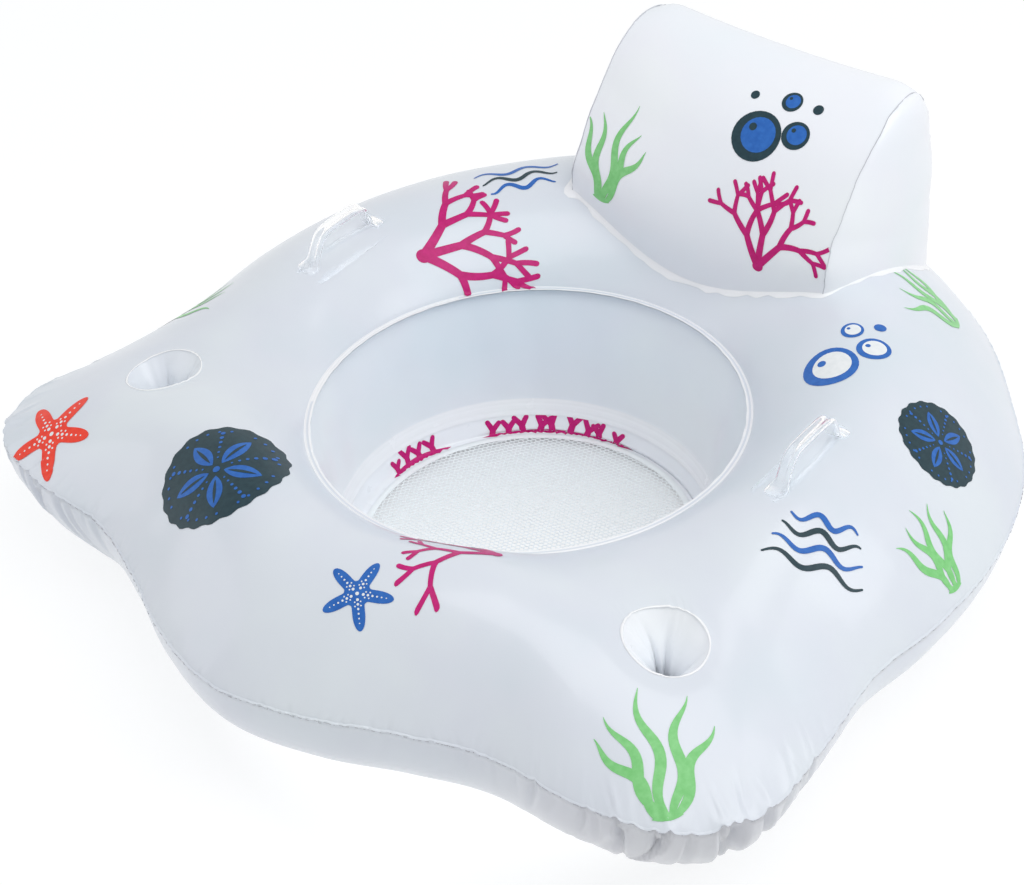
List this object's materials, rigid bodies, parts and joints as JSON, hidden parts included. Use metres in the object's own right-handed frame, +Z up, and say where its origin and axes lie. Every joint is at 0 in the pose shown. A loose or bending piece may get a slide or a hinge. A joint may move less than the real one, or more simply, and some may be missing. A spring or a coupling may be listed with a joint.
{
  "type": "inflatable pool sofa",
  "caption": "Inflatable pool sofa: lobed vinyl ring with a mesh-floored seat well, cup wells, clear grab handles, a wedge backrest and push-in air valves.",
  "frame": {"origin": "centre of the bounding box's bottom face, on the surface the float lies on", "axes": "+Z up, -Y the way the sitter faces, +Y towards the backrest, +X to the sitter's left"},
  "size_m": [1.0038, 1.104, 0.442],
  "materials": {
    "vinyl": "pearly translucent soft vinyl",
    "vinyl_printed": "printed soft vinyl",
    "net_white": "coated net",
    "clear_vinyl": "clear moulded vinyl",
    "valve_vinyl": "soft moulded vinyl"
  },
  "bodies": {
    "float": {"top_sheet": "vinyl", "bottom_sheet": "vinyl", "seat_wall": "vinyl", "seat_skirt": "vinyl_printed", "seat_net": "net_white", "cup_sleeve_left": "vinyl", "cup_sleeve_right": "vinyl", "cup_floor_left": "vinyl", "cup_floor_right": "vinyl", "grip_left": "clear_vinyl", "grip_right": "clear_vinyl", "grip_patch_left": "clear_vinyl", "grip_patch_right": "clear_vinyl", "rest_cover": "vinyl", "rest_end_left": "vinyl", "rest_end_right": "vinyl", "ring_valve_base": "valve_vinyl", "rest_valve_base": "valve_vinyl"},
    "ring_stem": {"ring_valve_stem": "valve_vinyl"},
    "ring_plug": {"ring_valve_plug": "valve_vinyl"},
    "ring_flap": {"ring_valve_flap": "valve_vinyl"},
    "rest_stem": {"rest_valve_stem": "valve_vinyl"},
    "rest_plug": {"rest_valve_plug": "valve_vinyl"},
    "rest_flap": {"rest_valve_flap": "valve_vinyl"}
  },
  "joints": [
    {"name": "ring_stem_push", "type": "slide", "parent": "float", "child": "ring_stem", "axis": [0, 0.6176, 0.7865], "range_m": [-0.01, 0]},
    {"name": "ring_plug_swing", "type": "hinge", "parent": "ring_stem", "child": "ring_plug", "pos_m": [0.0095, 0.50052, 0.19239], "axis": [0, 0.7865, -0.6176], "range_deg": [0, 110]},
    {"name": "ring_flap_swing", "type": "hinge", "parent": "ring_stem", "child": "ring_flap", "pos_m": [-0.0046, 0.48805, 0.1765], "axis": [0, 0.7865, -0.6176], "range_deg": [0, 45], "stiffness_Nm_per_rad": 0.0003, "springref_deg": -5.73},
    {"name": "rest_stem_push", "type": "slide", "parent": "float", "child": "rest_stem", "axis": [0, 0.9968, 0.0801], "range_m": [-0.01, 0]},
    {"name": "rest_plug_swing", "type": "hinge", "parent": "rest_stem", "child": "rest_plug", "pos_m": [0.0095, 0.45171, 0.29911], "axis": [0, 0.0801, -0.9968], "range_deg": [0, 110]},
    {"name": "rest_flap_swing", "type": "hinge", "parent": "rest_stem", "child": "rest_flap", "pos_m": [-0.0046, 0.43201, 0.29752], "axis": [0, 0.0801, -0.9968], "range_deg": [0, 45], "stiffness_Nm_per_rad": 0.0003, "springref_deg": -5.73}
  ]
}
